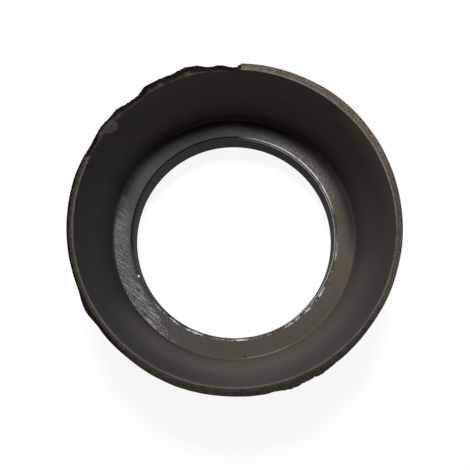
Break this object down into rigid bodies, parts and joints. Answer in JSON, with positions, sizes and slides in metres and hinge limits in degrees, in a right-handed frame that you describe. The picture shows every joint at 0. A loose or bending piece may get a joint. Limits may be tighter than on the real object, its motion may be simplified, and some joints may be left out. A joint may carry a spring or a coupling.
{
  "type": "spherical roller bearing outer ring",
  "caption": "Loose steel outer ring of a spherical roller bearing: concave race over a thick inner flange with a plain bore; part of its thin rim is broken away.",
  "frame": {"origin": "on the ring's axis, in the plane of its base", "axes": "+Z along the ring's axis, from the flanged base to the open rim; the broken length of rim lies between +Y and -X"},
  "size_m": [0.13, 0.13, 0.046],
  "materials": {
    "dark_bearing_steel": "bearing steel under dark heat-treatment oxide: satin charcoal race, taupe floor with bright tool marks, brown-grey rim"
  },
  "bodies": {
    "root": {"outer_ring": "dark_bearing_steel"}
  },
  "joints": []
}
